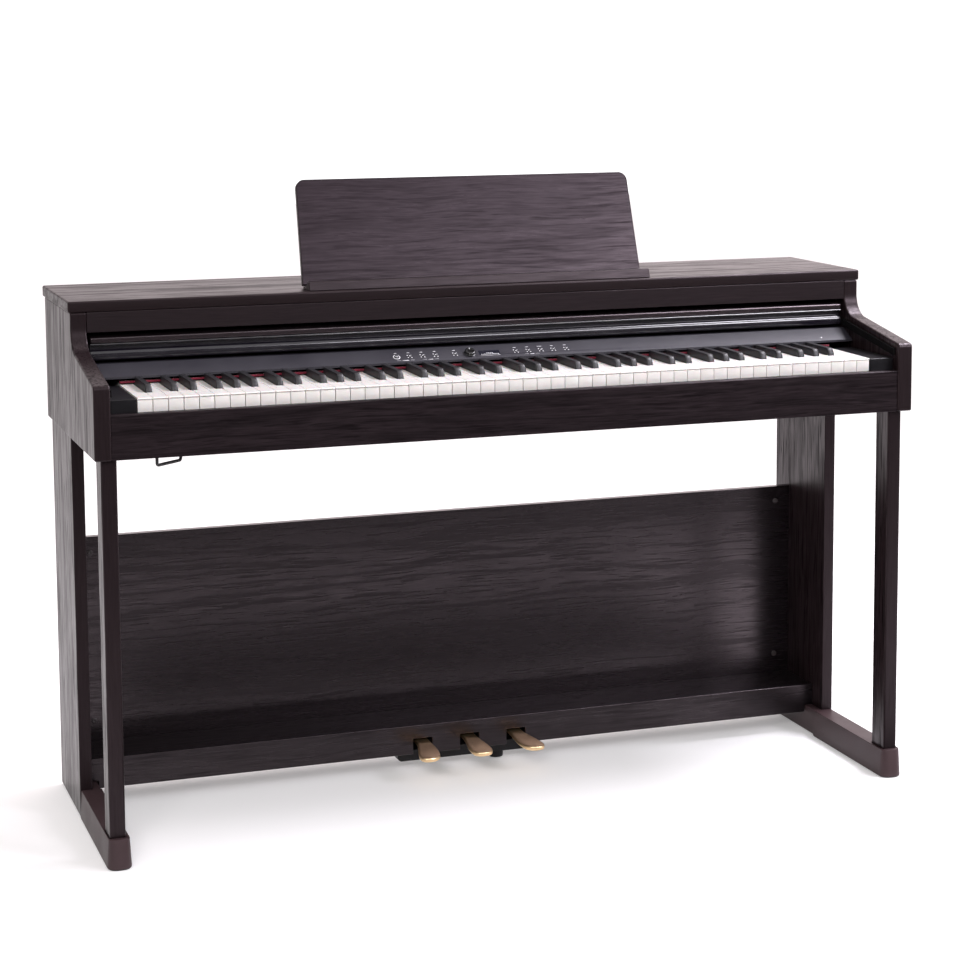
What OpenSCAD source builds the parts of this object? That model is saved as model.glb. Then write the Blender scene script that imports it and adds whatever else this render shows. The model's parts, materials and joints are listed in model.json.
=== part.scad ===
// Console digital piano on its own stand, in millimetres.
// +X is the treble side, the player sits at -Y, the floor is z = 0.

/* [Overall] */
// Width over the top panel
width = 1378; // [1370:1:1390]
// Depth from the arm fronts to the rear edge of the top panel
depth = 468; // [464:1:480]
// Height of the music rest's top edge when it stands up
height = 1028; // [1015:1:1040]

/* [Cabinet] */
// Height of the cabinet's underside above the floor
cabinet_bottom = 633; // [630:1:636]
// Height of the underside of the top panel
cabinet_top = 835; // [834:1:838]
// Thickness of the top panel
top_thick = 18; // [15:1:20]
// Overhang of the top panel past each side panel
top_overhang = 3; // [0:0.5:5]
// Thickness of each side panel
side_thick = 26; // [22:1:28]
// Thickness of the inner boards
board_thick = 15; // [12:1:16]
// Front of the top panel, fascia and shoulders
shoulder_y = -34; // [-36:1:-32]
// Downward slope of the arms and of the key cover, in degrees
arm_slope = 9.2; // [9:0.1:9.4]
// Height of the arm slope at the shoulder line
arm_z = 779.2; // [778:0.1:780]
// Radius of the hollow curve between shoulder and arm
shoulder_r = 38; // [30:1:40]
// Radius of the rounded nose of each arm
nose_r = 8; // [4:1:10]
// Height of the key slip's top edge
slip_top = 703.5; // [700:0.5:704]

/* [Keyboard] */
// Width of one white key with its gap
key_pitch = 23.7; // [23.6:0.1:23.8]
// Gap between neighbouring white keys
key_gap = 1; // [0.8:0.1:1.2]
// Height of the white key tops
key_top = 723; // [722:0.5:724]
// Front of the white keys
key_front_y = -214.4; // [-215:0.1:-214]
// Height of the black keys above the white keys
black_rise = 12; // [11:0.5:12]
// Width of a black key at its base
black_w = 10.5; // [9.5:0.5:11]
// Front of the black keys
black_front_y = -160; // [-162:1:-156]

/* [Control panel] */
// Front edge of the slanted panel
panel_front_y = -68; // [-69:1:-67]
// Height of the panel's front edge
panel_front_z = 736; // [735.5:0.5:736.5]
// Slant of the panel, in degrees
panel_slant = 28; // [27:0.5:29]
// Length of the slanted face
panel_len = 36; // [34:1:37]
// Radius of the volume dial
dial_r = 9.5; // [8:0.5:10]
// Radius of a small round button
button_r = 2.8; // [2.4:0.1:3]

/* [Music rest] */
// Width of the rest panel
rest_w = 596; // [580:2:600]
// Thickness of the rest panel
rest_thick = 10; // [8:1:10]
// Lean of the rest panel from vertical, in degrees
rest_lean = 18.3; // [17:0.1:20]
// Radius of the upper corners of the rest panel
rest_corner_r = 15; // [8:1:20]

/* [Stand] */
// Outer face of each rear leg board
leg_board_x = 679.5; // [678:0.5:680]
// Thickness of each rear leg board
leg_board_thick = 20; // [18:1:20]
// Width of a front leg
front_leg_w = 24.5; // [22:0.5:26]
// Height of the feet
foot_h = 47.5; // [45:0.5:50]
// Height of the back board's top edge
back_board_top = 435; // [400:1:450]

/* [Pedals] */
// Distance between neighbouring pedals
pedal_pitch = 85; // [80:1:90]
// Height of the pedal beam's top face
beam_top = 86; // [84:1:90]
// Height of the pedal beam's lower edge
beam_bottom = 35; // [33:1:36]
// Front face of the pedal beam
beam_front_y = 69; // [66:1:72]

/* [Hidden] */
$fn = 48;
half_w = width / 2;
front_y = -depth / 2;
rear_y = depth / 2;
side_out = half_w - top_overhang;
side_in = side_out - side_thick;
slope_t = tan(arm_slope);
panel_rear_y = rear_y - top_overhang;
slip_front_y = front_y + 3;
slip_rear_y = slip_front_y + board_thick;
top_z = cabinet_top + top_thick;

white_count = 52;
half_keys = white_count * key_pitch / 2;
black_top = key_top + black_rise;
middle_c = 23;
key_bottom = key_top - 14;
key_rear_y = 26;
fulcrum_y = 20;
fulcrum_r = 2.5;
fulcrum_clear = 0.4;
black_rear_y = -69.5;
black_clear = 1;
black_offsets = [-3, 3, 0, -4.2, 0, 4.2, 0];
black_letters = [1, 1, 0, 1, 1, 1, 0];

panel_thick = 3;
panel_half = side_in - 0.5;
control_at = 15;
button_clear = 0.3;
shaft_r = 3;
shaft_clear = 0.05;
button_proud = 1.2;
button_xs = [-140, -118, -95.5, -62];
function_xs = [44, 66, 88, 110, 133];
power_x = -162;
power_r = 4.6;
dial_x = -36.5;
display_x = -2.7;
display_w = 36.5;
display_h = 12;

cover_front_y = -33;
cover_bottom_z = 785;
cover_thick = 9;
cover_rear_y = 205;
cover_half = 655;
rail_clear = 0.4;

hinge_y = 35.7;
hinge_z = 860.2;
rest_foot_y = 20;
rest_foot_z = 859;
rest_len = (height - rest_foot_z) / cos(rest_lean);
rest_hinge_xs = [-180, 180];
ledge_half = 298;
knuckle_r = 3.5;
pin_r = 1.6;
pin_clear = 0.05;

speaker_x = 420;
speaker_y = 135;
jack_r = 3.3;
jack_front_y = -150;
jack_xs = [-631, -614];
connector_x = -90;
connector_half = 55;
connector_low = 700;
connector_high = 760;

leg_board_in = leg_board_x - leg_board_thick;
leg_board_front_y = 31;
leg_board_rear_y = 228;
foot_in = 642;
foot_out = 680;
foot_top_in = 644.5;
foot_top_out = 677;
foot_nose_rear = -170;
front_leg_in = 650;
front_leg_front_y = -218.6;
front_leg_depth = 43.6;
leg_socket = 7.5;
back_board_y = 173;
inner_x = leg_board_in;
foot_clear_x = 643.5;

pedal_xs = [-pedal_pitch, 0, pedal_pitch];
axle_y = 130;
axle_z = 60;
axle_r = 4;
axle_clear = 0.05;
pedal_slope = 4;
pedal_tip = 146;
pedal_splay = 11;
splay_start = 62;
slot_w = 34;
slot_low = 33;
slot_high = 62;
pocket_half = 150;
pocket_rear = 167;
plate_low = 15;
adjuster_x = 64;
adjuster_y = 118;
adjuster_r = 4;
adjuster_pad_r = 13;
adjuster_pad_low = 1;
adjuster_pad_high = 13.5;

// ---- helpers ----

// Points of an arc about [y, z] from angle a to angle b
function arc(y, z, r, a, b, n = 8) =
  [for (i = [0:n]) [y + r * cos(a + (b - a) * i / n), z + r * sin(a + (b - a) * i / n)]];

// Extrudes an outline drawn in the YZ plane from x = a to x = b
module along_x(a, b) {
  translate([a, 0, 0]) rotate([90, 0, 90]) linear_extrude(b - a) children();
}

// Extrudes an outline drawn in the XZ plane from y = a to y = b
module along_y(a, b) {
  translate([0, b, 0]) rotate([90, 0, 0]) linear_extrude(b - a) children();
}

module box(low, high) {
  translate(low) cube(high - low);
}

module rod_x(a, b, r) {
  rotate([0, 90, 0]) cylinder(r = r, h = b - a);
}

module mirrored() {
  children();
  mirror([1, 0, 0]) children();
}

// Height of the arm's sloping edge at a given y
function arm_at(y) = arm_z + (y - shoulder_y) * slope_t;

// Height of the key cover's underside at a given y
function cover_at(y) = cover_bottom_z + (y - cover_front_y) * slope_t;

// ---- cabinet ----

module side_panel() {
  hollow_y = shoulder_y - shoulder_r;
  hollow_z = arm_at(hollow_y) + shoulder_r / cos(arm_slope);
  nose_y = front_y + nose_r;
  nose_z = arm_at(nose_y) - nose_r / cos(arm_slope);
  along_x(side_in, side_out) polygon(concat(
    [[panel_rear_y, cabinet_bottom], [panel_rear_y, cabinet_top], [shoulder_y, cabinet_top]],
    arc(hollow_y, hollow_z, shoulder_r, 0, arm_slope - 90, 12),
    arc(nose_y, nose_z, nose_r, 90 + arm_slope, 180),
    [[front_y, cabinet_bottom]]
  ));
}

module side_panel_right() {
  color([0.17, 0.13, 0.14]) side_panel();
}

module side_panel_left() {
  color([0.17, 0.13, 0.14]) mirror([1, 0, 0]) side_panel();
}

module top_panel() {
  edge_r = 3;
  color([0.2, 0.16, 0.17]) along_x(-half_w, half_w) polygon(concat(
    [[rear_y, cabinet_top], [rear_y, top_z]],
    arc(shoulder_y + edge_r, top_z - edge_r, edge_r, 90, 180),
    arc(shoulder_y + edge_r, cabinet_top + edge_r, edge_r, 180, 270)
  ));
}

module rear_panel() {
  rim = 5;
  color([0.15, 0.12, 0.13]) difference() {
    box([-side_in, panel_rear_y - board_thick, cabinet_bottom + board_thick],
        [side_in, panel_rear_y, cabinet_top]);
    box([connector_x - connector_half + rim, panel_rear_y - 20, connector_low + rim],
        [connector_x + connector_half - rim, panel_rear_y + 1, connector_high - rim]);
  }
}

module fascia() {
  fascia_low = 803;
  color([0.12, 0.1, 0.11])
    box([-side_in, shoulder_y, fascia_low], [side_in, shoulder_y + board_thick, cabinet_top]);
}

module bottom_board() {
  hole_r = 50;
  color([0.13, 0.11, 0.11]) difference() {
    box([-side_in, slip_rear_y, cabinet_bottom],
        [side_in, panel_rear_y, cabinet_bottom + board_thick]);
    for (sx = [-speaker_x, speaker_x])
      translate([sx, speaker_y, cabinet_bottom - 1]) cylinder(r = hole_r, h = board_thick + 2);
  }
}

module key_slip() {
  edge_r = 2;
  color([0.15, 0.12, 0.12]) along_x(-side_in, side_in) polygon(concat(
    [[slip_rear_y, cabinet_bottom], [slip_rear_y, slip_top]],
    arc(slip_front_y + edge_r, slip_top - edge_r, edge_r, 90, 180, 4),
    [[slip_front_y, cabinet_bottom]]
  ));
}

module key_blocks() {
  block_top = 722;
  color([0.06, 0.06, 0.07]) mirrored()
    box([half_keys + 0.8, key_front_y, cabinet_bottom + board_thick],
        [side_in, panel_front_y + 2, block_top]);
}

// ---- sliding key cover ----

module key_cover() {
  color([0.16, 0.13, 0.13]) along_x(-cover_half, cover_half) polygon([
    [cover_front_y, cover_bottom_z],
    [cover_rear_y, cover_at(cover_rear_y)],
    [cover_rear_y, cover_at(cover_rear_y) + cover_thick],
    [cover_front_y, cover_bottom_z + cover_thick]
  ]);
}

module key_cover_grip() {
  bar_low = 758;
  bar_high = 775;
  bar_rear = -21;
  round_r = 6;
  web_front = -28;
  color([0.05, 0.05, 0.05]) along_x(-cover_half, cover_half) polygon(concat(
    [[bar_rear, bar_low], [bar_rear, cover_at(bar_rear)], [web_front, cover_at(web_front)],
     [web_front, bar_high]],
    arc(cover_front_y + round_r, bar_high - round_r, round_r, 90, 180, 6),
    arc(cover_front_y + round_r, bar_low + round_r, round_r, 180, 270, 6)
  ));
}

module cover_guides() {
  guide_thick = 4;
  rail_w = 12;
  rail_h = 12;
  rail_front_y = -10;
  track_front_y = -222;
  track_low = 22;
  track_high = 10;
  color([0.04, 0.04, 0.04]) mirrored() {
    along_x(side_in - guide_thick, side_in) polygon([
      [track_front_y, arm_at(track_front_y) - track_low],
      [shoulder_y, arm_at(shoulder_y) - track_low],
      [shoulder_y, arm_at(shoulder_y) - track_high],
      [track_front_y, arm_at(track_front_y) - track_high]
    ]);
    along_x(side_in - rail_w, side_in) polygon([
      [rail_front_y, cover_at(rail_front_y) - rail_h],
      [cover_rear_y, cover_at(cover_rear_y) - rail_h],
      [cover_rear_y, cover_at(cover_rear_y) - rail_clear],
      [rail_front_y, cover_at(rail_front_y) - rail_clear]
    ]);
  }
}

// ---- keyboard ----

function key_left(i) = -half_keys + i * key_pitch;
function letter(i) = (i + 5) % 7;
function has_black(i) = i >= 0 && i < white_count - 1 && black_letters[letter(i)] == 1;
function black_x(i) = key_left(i + 1) + black_offsets[letter(i)];

module fulcrum_notch() {
  translate([-half_keys - 5, fulcrum_y, key_bottom])
    rod_x(0, 2 * half_keys + 10, fulcrum_r + fulcrum_clear);
}

module black_notch(i) {
  half = black_w / 2 + black_clear;
  box([black_x(i) - half, black_front_y - 1.5, key_bottom - 20],
      [black_x(i) + half, key_rear_y + 5, key_top + 5]);
}

module white_key(i) {
  lip = 1.7;
  lip_h = 3;
  skirt_low = key_top - 22;
  skirt_thick = 8;
  difference() {
    along_x(key_left(i) + key_gap / 2, key_left(i + 1) - key_gap / 2) polygon([
      [key_front_y, key_top - lip_h], [key_front_y, key_top - 0.8],
      [key_front_y + 0.8, key_top], [key_rear_y, key_top], [key_rear_y, key_bottom],
      [key_front_y + lip + skirt_thick, key_bottom],
      [key_front_y + lip + skirt_thick, skirt_low], [key_front_y + lip, skirt_low],
      [key_front_y + lip, key_top - lip_h]
    ]);
    if (has_black(i - 1)) black_notch(i - 1);
    if (has_black(i)) black_notch(i);
    fulcrum_notch();
  }
}

module black_key(i) {
  tail_top = key_top + 1;
  difference() {
    along_x(black_x(i) - black_w / 2, black_x(i) + black_w / 2) polygon([
      [black_front_y, key_bottom], [black_front_y, key_top + 2],
      [black_front_y + 8, black_top - 1], [black_front_y + 12, black_top],
      [black_rear_y, black_top], [black_rear_y, tail_top],
      [key_rear_y, tail_top], [key_rear_y, key_bottom]
    ]);
    fulcrum_notch();
  }
}

module white_keys(first, last) {
  color([0.93, 0.92, 0.88]) for (i = [first:last]) white_key(i);
}

module black_keys(first, last) {
  color([0.08, 0.08, 0.09]) for (i = [first:last]) if (has_black(i)) black_key(i);
}

module bass_white_keys() { white_keys(0, middle_c - 1); }
module bass_black_keys() { black_keys(0, middle_c - 1); }
module treble_white_keys() { white_keys(middle_c + 3, white_count - 1); }
module treble_black_keys() { black_keys(middle_c + 2, white_count - 1); }
module key_c4() { white_keys(middle_c, middle_c); }
module key_c_sharp4() { black_keys(middle_c, middle_c); }
module key_d4() { white_keys(middle_c + 1, middle_c + 1); }
module key_d_sharp4() { black_keys(middle_c + 1, middle_c + 1); }
module key_e4() { white_keys(middle_c + 2, middle_c + 2); }

module key_chassis() {
  base_low = cabinet_bottom + board_thick;
  base_thick = 3;
  stop_top = 688;
  rail_half = half_keys;
  color([0.6, 0.61, 0.63]) {
    box([-rail_half, -206, base_low], [rail_half, 44, base_low + base_thick]);
    box([-rail_half, -200, base_low], [rail_half, -190, stop_top]);
    box([-rail_half, fulcrum_y - 2, base_low], [rail_half, fulcrum_y + 2, key_bottom - 1]);
    translate([-rail_half, fulcrum_y, key_bottom]) rod_x(0, 2 * rail_half, fulcrum_r);
  }
}

module key_felt() {
  front = -67;
  rear = -60;
  lift = 1.8;
  felt_h = 3.4;
  color([0.5, 0.05, 0.07])
    box([-half_keys, front, key_top + lift], [half_keys, rear, key_top + lift + felt_h]);
}

// ---- control panel ----

// Places children on the slanted face: x along the piano, y up the slant, z out of the face
module on_panel(x, up) {
  translate([x, panel_front_y, panel_front_z]) rotate([panel_slant, 0, 0])
    translate([0, up, 0]) children();
}

module control_panel() {
  lip = 3.5;
  top_y = panel_front_y + panel_len * cos(panel_slant);
  face_top = panel_front_z + panel_len * sin(panel_slant);
  shelf_rear = 60;
  color([0.1, 0.1, 0.11]) difference() {
    along_x(-panel_half, panel_half) polygon([
      [panel_front_y, panel_front_z - lip], [panel_front_y, panel_front_z],
      [top_y, face_top], [shelf_rear, face_top], [shelf_rear, face_top - panel_thick],
      [top_y + 0.7, face_top - panel_thick],
      [panel_front_y + 1.6, panel_front_z - lip]
    ]);
    for (x = concat(button_xs, function_xs)) on_panel(x, control_at)
      translate([0, 0, -8]) cylinder(r = button_r + button_clear, h = 16);
    on_panel(power_x, control_at) translate([0, 0, -8])
      cylinder(r = power_r + button_clear, h = 16);
    on_panel(dial_x, control_at) translate([0, 0, -8])
      cylinder(r = shaft_r + shaft_clear, h = 16);
    on_panel(display_x, control_at) translate([-display_w / 2, -display_h / 2, -1])
      cube([display_w, display_h, 3]);
  }
}

module display_window() {
  color([0.02, 0.02, 0.03]) on_panel(display_x, control_at)
    translate([-display_w / 2, -display_h / 2, -1]) cube([display_w, display_h, 1.2]);
}

module volume_dial() {
  skirt_h = 1.2;
  knob_low = 0.5;
  knob_high = 6.4;
  color([0.08, 0.08, 0.09]) on_panel(dial_x, control_at) {
    translate([0, 0, -7]) cylinder(r = shaft_r, h = 8);
    translate([0, 0, knob_low]) cylinder(r = dial_r, h = skirt_h);
    translate([0, 0, knob_low + skirt_h])
      cylinder(r1 = dial_r - 0.4, r2 = dial_r - 1, h = knob_high - knob_low - skirt_h);
  }
}

module panel_button(x, r) {
  inside = 6;
  color([0.16, 0.16, 0.17]) on_panel(x, control_at)
    translate([0, 0, -inside]) cylinder(r = r, h = inside + button_proud);
}

module power_button() { panel_button(power_x, power_r); }
module voice_button_1() { panel_button(button_xs[0], button_r); }
module voice_button_2() { panel_button(button_xs[1], button_r); }
module voice_button_3() { panel_button(button_xs[2], button_r); }
module voice_button_4() { panel_button(button_xs[3], button_r); }
module function_button_1() { panel_button(function_xs[0], button_r); }
module function_button_2() { panel_button(function_xs[1], button_r); }
module function_button_3() { panel_button(function_xs[2], button_r); }
module function_button_4() { panel_button(function_xs[3], button_r); }
module function_button_5() { panel_button(function_xs[4], button_r); }

// ---- electronics ----

module main_board() {
  pcb_z = 680;
  pcb_thick = 1.6;
  pcb_top = pcb_z + pcb_thick;
  post_r = 4;
  floor_z = cabinet_bottom + board_thick;
  color([0.1, 0.35, 0.2]) {
    box([-200, 80, pcb_z], [60, 190, pcb_top]);
    for (x = [-190, 50], y = [90, 180])
      translate([x, y, floor_z]) cylinder(r = post_r, h = pcb_z - floor_z);
    box([-150, 120, pcb_top], [-100, 160, pcb_z + 9]);
    box([-40, 110, pcb_top], [0, 150, pcb_z + 6]);
  }
}

module speakers() {
  floor_z = cabinet_bottom + board_thick;
  grille_r = 58;
  grille_thick = 2.5;
  holes_r = 45;
  hole_r = 3;
  color([0.09, 0.09, 0.09]) for (sx = [-speaker_x, speaker_x]) translate([sx, speaker_y, 0]) {
    translate([0, 0, floor_z]) rotate_extrude() polygon([
      [44, 0], [60, 0], [60, 3], [52, 3], [26, 28], [26, 46], [0, 46], [0, 24], [20, 24]
    ]);
    difference() {
      translate([0, 0, cabinet_bottom - grille_thick])
        cylinder(r = grille_r, h = grille_thick);
      for (x = [-40:10:40], y = [-40:10:40])
        if (norm([x, y]) < holes_r)
          translate([x, y, cabinet_bottom - 4]) cylinder(r = hole_r, h = 6);
    }
  }
}

module jack_box() {
  wall = 9;
  box_len = 60;
  box_h = 12;
  jack_deep = 25;
  color([0.07, 0.07, 0.07]) difference() {
    box([jack_xs[0] - wall, jack_front_y, cabinet_bottom - box_h],
        [jack_xs[1] + wall, jack_front_y + box_len, cabinet_bottom]);
    for (x = jack_xs) translate([x, jack_front_y - 1, cabinet_bottom - box_h / 2])
      rotate([-90, 0, 0]) cylinder(r = jack_r, h = jack_deep + 1);
  }
}

module connector_panel() {
  plate_rear = panel_rear_y + 2;
  inset = 7;
  deep = 14;
  socket_z = (connector_low + connector_high) / 2;
  socket_r = 3;
  socket_xs = [-124, -108, -92];
  inlet_x = -68;
  inlet_half = 6;
  color([0.06, 0.06, 0.06]) difference() {
    union() {
      box([connector_x - connector_half, panel_rear_y, connector_low],
          [connector_x + connector_half, plate_rear, connector_high]);
      box([connector_x - connector_half + inset, panel_rear_y - deep, connector_low + inset],
          [connector_x + connector_half - inset, panel_rear_y, connector_high - inset]);
    }
    for (x = socket_xs) translate([x, plate_rear + 1, socket_z]) rotate([90, 0, 0])
      cylinder(r = socket_r, h = 12);
    box([inlet_x - inlet_half, plate_rear - 9, socket_z - inlet_half],
        [inlet_x + inlet_half, plate_rear + 1, socket_z + inlet_half]);
  }
}

// ---- music rest ----

// Places children at the rest panel's lower front edge, y along its thickness, z up the panel
module on_rest() {
  translate([0, rest_foot_y, rest_foot_z]) rotate([-rest_lean, 0, 0]) children();
}

module music_rest_panel() {
  c = rest_corner_r;
  half = rest_w / 2;
  taper = 4;
  color([0.22, 0.17, 0.2]) on_rest() along_y(0, rest_thick) polygon(concat(
    [[-half, 0], [half, 0]],
    arc(half - taper - c, rest_len - c, c, 0, 90),
    arc(-half + taper + c, rest_len - c, c, 90, 180)
  ));
}

module music_rest_ledge() {
  color([0.2, 0.16, 0.17]) along_x(-ledge_half, ledge_half) polygon([
    [19, top_z], [19, top_z + 5], [0, top_z + 5], [-9, top_z + 15],
    [-18, top_z + 15], [-23.5, top_z]
  ]);
}

module music_rest_hinges() {
  color([0.55, 0.56, 0.58]) for (x = rest_hinge_xs) {
    box([x - 22, hinge_y - 3, top_z], [x + 22, hinge_y + 24, top_z + 1.6]);
    for (s = [-1, 1]) hull() {
      translate([x + s * 18 - 1.5, hinge_y, hinge_z]) rod_x(0, 3, knuckle_r);
      box([x + s * 18 - 1.5, hinge_y, top_z + 0.8], [x + s * 18 + 1.5, hinge_y + 12, top_z + 1.6]);
    }
    translate([x - 22, hinge_y, hinge_z]) rod_x(0, 44, pin_r);
  }
}

module music_rest_straps() {
  strap_half = 14;
  strap_len = 46;
  back = rest_thick + 1.8;
  color([0.5, 0.51, 0.53]) for (x = rest_hinge_xs) difference() {
    union() {
      on_rest() box([x - strap_half, rest_thick, 2], [x + strap_half, back, strap_len]);
      translate([x - strap_half, hinge_y, hinge_z]) rod_x(0, 2 * strap_half, knuckle_r);
    }
    translate([x - strap_half - 1, hinge_y, hinge_z])
      rod_x(0, 2 * strap_half + 2, pin_r + pin_clear);
  }
}

// ---- stand ----

module stand_board() {
  color([0.17, 0.13, 0.14]) box([leg_board_in, leg_board_front_y, 3],
                                [leg_board_x, leg_board_rear_y, cabinet_bottom]);
}

module foot_plan(x_in, x_out, nose, r) {
  translate([x_in + r, nose + r]) circle(r);
  translate([x_out - r, nose + r]) circle(r);
}

// Foot bar with a drafted, round-nosed collar that holds the front leg
module foot() {
  skin = 0.5;
  rear_end = 186;
  bar_in = 646;
  bar_out = 675;
  socket_gap = 0.6;
  top_skin = foot_h - skin;
  rear_y0 = leg_board_front_y - 2;
  color([0.31, 0.24, 0.25]) difference() {
    union() {
      hull() {
        linear_extrude(skin) foot_plan(foot_in, foot_out, front_y + 0.5, 14);
        translate([0, 0, top_skin]) linear_extrude(skin)
          foot_plan(foot_top_in, foot_top_out, front_y + 5, 9);
        box([foot_in, foot_nose_rear - 4, 0], [foot_out, foot_nose_rear, skin]);
        box([foot_top_in, foot_nose_rear - 4, top_skin], [foot_top_out, foot_nose_rear, foot_h]);
      }
      hull() {
        box([foot_in, foot_nose_rear - 4, 0], [foot_out, foot_nose_rear, skin]);
        box([foot_top_in, foot_nose_rear - 4, top_skin], [foot_top_out, foot_nose_rear, foot_h]);
        box([foot_in + 2, rear_y0, 0], [foot_out - 1, leg_board_front_y, skin]);
        box([bar_in, rear_y0, top_skin], [bar_out, leg_board_front_y, foot_h]);
      }
      box([bar_in, leg_board_front_y - 0.5, 0], [leg_board_in, rear_end, foot_h]);
    }
    box([front_leg_in - socket_gap, front_leg_front_y - socket_gap, foot_h - leg_socket],
        [front_leg_in + front_leg_w + socket_gap,
         front_leg_front_y + front_leg_depth + socket_gap, foot_h + 1]);
  }
}

module front_leg() {
  color([0.18, 0.14, 0.15])
    box([front_leg_in, front_leg_front_y, foot_h - leg_socket],
        [front_leg_in + front_leg_w, front_leg_front_y + front_leg_depth, cabinet_bottom]);
}

module stand_board_right() { stand_board(); }
module stand_board_left() { mirror([1, 0, 0]) stand_board(); }
module front_leg_right() { front_leg(); }
module front_leg_left() { mirror([1, 0, 0]) front_leg(); }
module foot_right() { foot(); }
module foot_left() { mirror([1, 0, 0]) foot(); }

module back_board() {
  color([0.16, 0.13, 0.13]) along_y(back_board_y, back_board_y + board_thick) polygon([
    [-foot_clear_x, beam_bottom], [foot_clear_x, beam_bottom], [foot_clear_x, foot_h + 0.5],
    [inner_x, foot_h + 0.5], [inner_x, back_board_top], [-inner_x, back_board_top],
    [-inner_x, foot_h + 0.5], [-foot_clear_x, foot_h + 0.5]
  ]);
}

module screw_caps() {
  cap_r = 5;
  cap_h = 1.4;
  screw_r = 4;
  screw_h = 1.6;
  color([0.2, 0.18, 0.18]) {
    for (x = [-631, 631], z = [120, 408]) translate([x, back_board_y, z]) rotate([90, 0, 0])
      cylinder(r = cap_r, h = cap_h);
    for (x = [-600, -300, 300, 600], z = [660, 820])
      translate([x, panel_rear_y + screw_h, z]) rotate([90, 0, 0])
        cylinder(r = screw_r, h = screw_h);
  }
}

// Bent wire: down from the cabinet, along under it and up again
module headphone_hook() {
  wire_r = 2.8;
  drop = 15;
  reach = 54;
  turn = 38;
  end_rise = 7;
  color([0.05, 0.05, 0.05]) translate([-587, -207, cabinet_bottom - drop]) rotate([0, 0, turn]) {
    cylinder(r = wire_r, h = drop);
    sphere(wire_r);
    rod_x(0, reach, wire_r);
    translate([reach, 0, 0]) sphere(wire_r);
    translate([reach, 0, 0]) cylinder(r = wire_r, h = end_rise);
  }
}

// ---- pedals ----

module pedal_beam() {
  color([0.14, 0.11, 0.12]) difference() {
    along_y(beam_front_y, back_board_y) polygon([
      [-foot_clear_x, beam_bottom], [foot_clear_x, beam_bottom], [foot_clear_x, foot_h + 0.5],
      [inner_x, foot_h + 0.5], [inner_x, beam_top], [-inner_x, beam_top],
      [-inner_x, foot_h + 0.5], [-foot_clear_x, foot_h + 0.5]
    ]);
    box([-pocket_half, beam_front_y + board_thick, beam_bottom - 1],
        [pocket_half, pocket_rear, beam_top - board_thick]);
    for (x = pedal_xs)
      box([x - slot_w / 2, beam_front_y - 1, slot_low],
          [x + slot_w / 2, beam_front_y + board_thick + 1, slot_high]);
  }
}

// Sideways bend of an outer pedal at a given distance from its pivot
function splay_at(y, side) =
  side * pedal_splay * pow(max(0, (-y - splay_start) / (pedal_tip - splay_start)), 1.4);

function splayed(points, side) = [for (p = points) [p[0] + splay_at(p[1], side), p[1]]];

// Pedal drawn about its pivot, pointing to -Y, bent outwards by side -1, 0 or 1
module pedal(x, side) {
  thick = 8;
  boss_r = 8;
  boss_half = 13;
  neck = 12;
  toe = 18.5;
  toe_r = 10;
  drop = -6;
  toe_start = pedal_tip - 30;
  steps = [0:4];
  widths = [for (i = steps) neck + (toe - 1 - neck) * i / 4];
  backs = [for (i = steps) -splay_start - (toe_start - splay_start) * i / 4];
  outline = concat(
    [[neck, 0], [-neck, 0]],
    [for (i = steps) [-widths[i], backs[i]]],
    arc(-toe + toe_r, -pedal_tip + toe_r, toe_r, 180, 250),
    arc(toe - toe_r, -pedal_tip + toe_r, toe_r, 290, 360),
    [for (i = steps) [widths[4 - i], backs[4 - i]]]
  );
  color([0.72, 0.55, 0.28]) translate([x, axle_y, axle_z]) difference() {
    union() {
      rotate([pedal_slope, 0, 0]) translate([0, 0, drop]) linear_extrude(thick)
        polygon(splayed(outline, side));
      translate([-boss_half, 0, 0]) rod_x(0, 2 * boss_half, boss_r);
    }
    translate([-boss_half - 1, 0, 0]) rod_x(0, 2 * boss_half + 2, axle_r + axle_clear);
  }
}

module pedal_left() { pedal(pedal_xs[0], -1); }
module pedal_middle() { pedal(pedal_xs[1], 0); }
module pedal_right() { pedal(pedal_xs[2], 1); }

module pedal_axle() {
  color([0.55, 0.56, 0.58]) translate([-pocket_half, axle_y, axle_z])
    rod_x(0, 2 * pocket_half, axle_r);
}

// Torsion springs around the axle beside each pedal
module pedal_springs() {
  wire_r = 1;
  coil_r = axle_r + 1.6;
  turns = 7;
  pitch = 2.1;
  first_turn = 15;
  color([0.6, 0.61, 0.62]) for (x = pedal_xs, k = [0:turns - 1])
    translate([x + first_turn + k * pitch, axle_y, axle_z]) rotate([0, 90, 0])
      rotate_extrude() translate([coil_r, 0]) circle(wire_r, $fn = 16);
}

// Rounded plate under the beam, with the tray that closes the pedal box
module pedal_base_plate() {
  corner = 8;
  half = 122;
  plate_front_y = 98;
  plate_rear_y = 140;
  tray_thick = 3;
  tray_gap = 1;
  stem_top_z = 29.5;
  color([0.05, 0.05, 0.05]) difference() {
    union() {
      along_y(plate_front_y, plate_rear_y) polygon(concat(
        [[half, beam_bottom + 1], [-half, beam_bottom + 1]],
        arc(-half + corner, plate_low + corner, corner, 180, 270),
        arc(half - corner, plate_low + corner, corner, 270, 360)
      ));
      box([-pocket_half + tray_gap, beam_front_y + board_thick + tray_gap, beam_bottom],
          [pocket_half - tray_gap, pocket_rear - tray_gap, beam_bottom + tray_thick]);
    }
    translate([adjuster_x, adjuster_y, plate_low - 1])
      cylinder(r = adjuster_r + axle_clear, h = stem_top_z - plate_low + 1);
  }
}

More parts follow.
